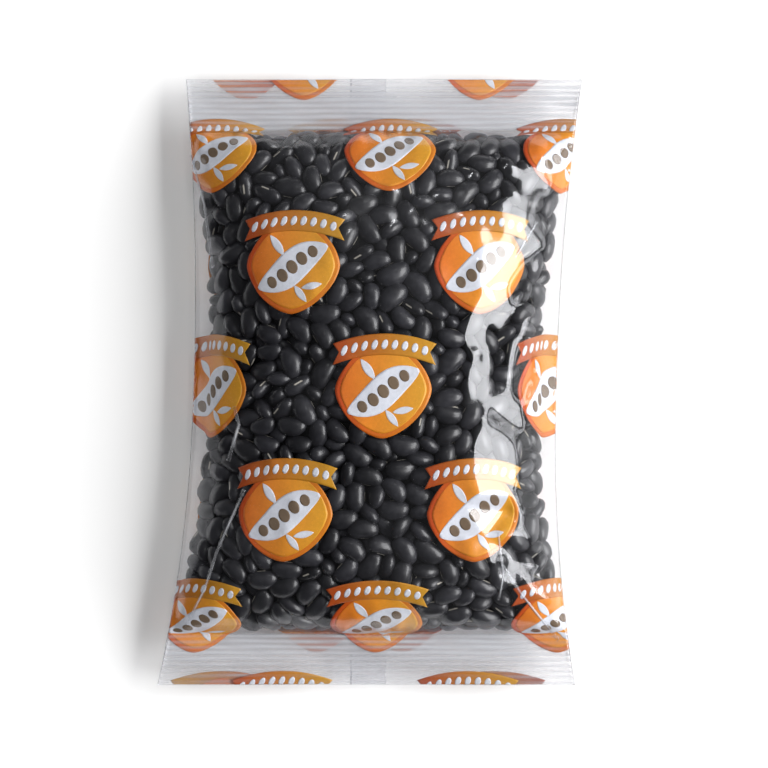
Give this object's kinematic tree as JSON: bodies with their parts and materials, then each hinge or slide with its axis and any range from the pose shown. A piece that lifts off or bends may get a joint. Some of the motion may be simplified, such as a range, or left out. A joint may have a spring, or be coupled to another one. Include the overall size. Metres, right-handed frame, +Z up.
{
  "type": "bag of dried beans",
  "caption": "Clear plastic pillow bag of dried black beans, crimped shut at both ends and printed with small orange motifs, lying on its back.",
  "frame": {"origin": "Under the middle of the bag, on the flat of the underside that it lies on, at the middle of the outline's width and length.", "axes": "+X across the bag to the right as its printed front is read, +Y along the bag towards its top seal, +Z up out of the printed front."},
  "size_m": [0.15, 0.214, 0.0381],
  "materials": {
    "film": "clear cast polypropylene film, thin and glossy, ribbed where it is crimped shut; this slot also stands for the whole filled bag",
    "bean": "dried black beans with a satin seed coat, near black with a slight blue-grey cast",
    "hilum": "the small white scar on the hollow side of each bean, dull",
    "ink_orange": "orange to amber flexo ink under the gloss of the film",
    "ink_white": "white flexo ink under the gloss of the film",
    "ink_brown": "brown to gold flexo ink under the gloss of the film"
  },
  "bodies": {
    "root": {"bag": "film"}
  },
  "joints": []
}
